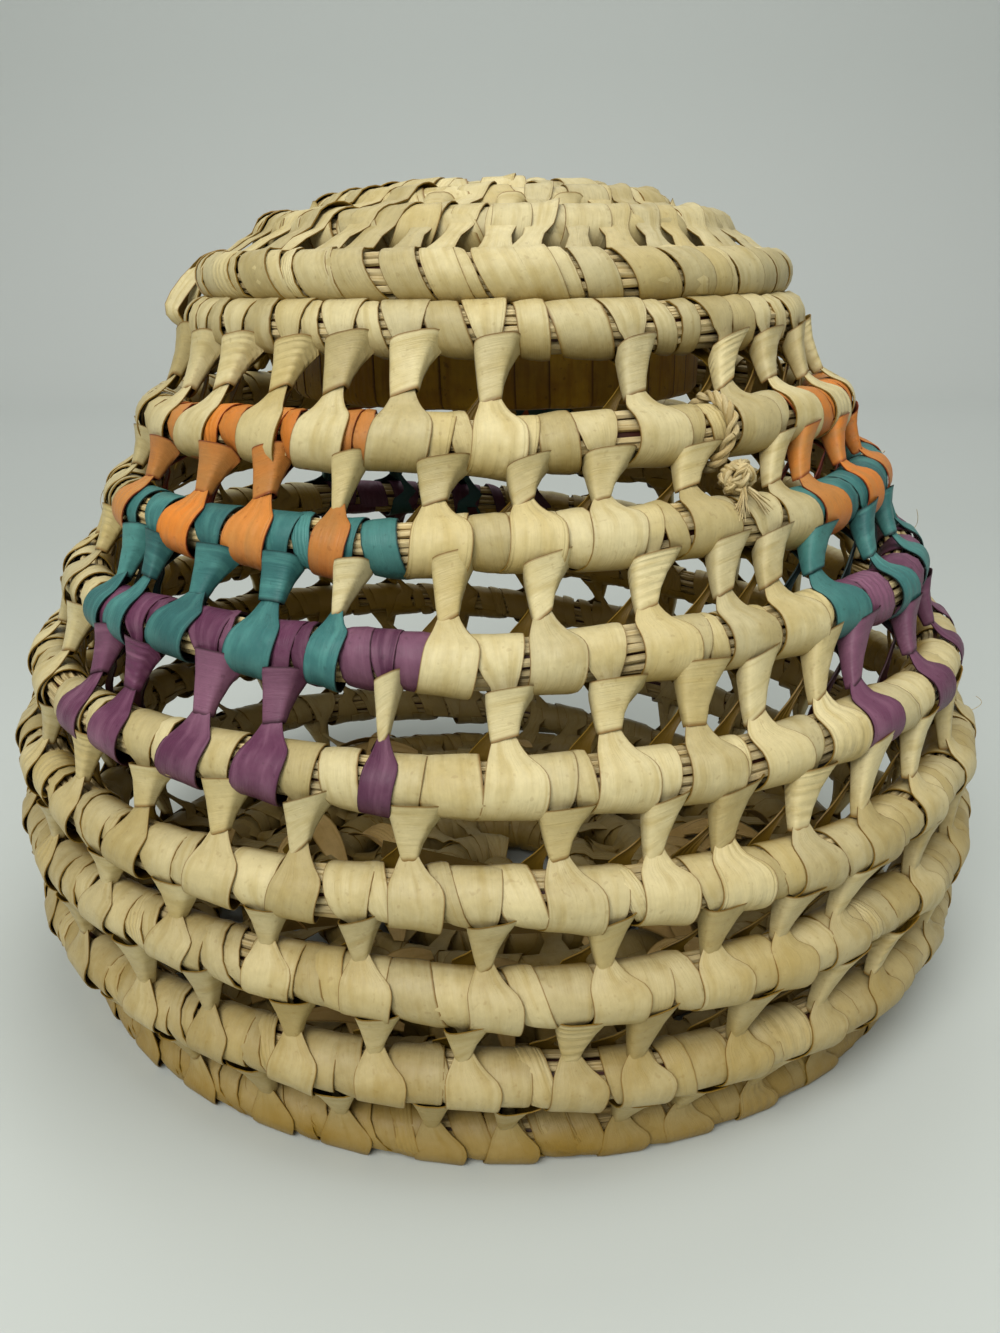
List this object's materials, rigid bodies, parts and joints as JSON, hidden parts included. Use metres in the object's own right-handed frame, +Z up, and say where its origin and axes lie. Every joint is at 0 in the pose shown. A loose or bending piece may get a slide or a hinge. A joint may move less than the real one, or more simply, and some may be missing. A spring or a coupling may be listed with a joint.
{
  "type": "lidded coiled palm basket",
  "caption": "Round-bellied open-stitched coiled palm basket with a domed lid that tips up on a palm loop and a straw tie cord.",
  "frame": {"origin": "on the floor, under the middle of the foot turn", "axes": "+Z up, -Y towards the front, +X to the right; the lid's hinge loop is at -X"},
  "size_m": [0.3059, 0.305, 0.2363],
  "materials": {
    "palm_wrap": "natural dried palm strip, satin, fine lengthwise fibres",
    "palm_strip": "natural dried palm strip, satin, folded edges",
    "purple_palm": "dyed dark purple palm strip, worn paler at the edges",
    "teal_palm": "dyed teal palm strip",
    "orange_palm": "dyed orange palm strip",
    "straw_cord": "twisted straw",
    "dark_palm": "brown unpicked palm strip, wrapped upright"
  },
  "bodies": {
    "basket": {"base_button": "palm_wrap", "base_coil": "palm_wrap", "base_knots": "palm_strip", "foot_turn": "palm_wrap", "wall_turn_2": "palm_wrap", "wall_turn_3": "palm_wrap", "wall_turn_4": "palm_wrap", "wall_turn_5": "palm_wrap", "wall_turn_6": "palm_wrap", "wall_turn_7": "palm_wrap", "wall_turn_8": "palm_wrap", "neck_turn": "palm_wrap", "stitches_1": "palm_strip", "stitches_2": "palm_strip", "stitches_3": "palm_strip", "stitches_4": "palm_strip", "stitches_5": "palm_strip", "stitches_6": "palm_strip", "stitches_7": "palm_strip", "stitches_8": "palm_strip", "purple_stitches": "purple_palm", "teal_stitches": "teal_palm", "orange_stitches": "orange_palm", "hinge_loop": "palm_strip", "tie_loop": "straw_cord", "tie_knot": "straw_cord", "tie_ends": "straw_cord"},
    "lid": {"lid_rim": "palm_wrap", "lid_coil": "palm_wrap", "lid_button": "palm_wrap", "lid_knots": "palm_strip", "lid_flange": "dark_palm", "flange_tacks": "palm_strip"}
  },
  "joints": [
    {"name": "lid_hinge", "type": "hinge", "parent": "basket", "child": "lid", "pos_m": [-0.08027, 0, 0.21095], "axis": [0, -1, 0], "range_deg": [0, 110]}
  ]
}
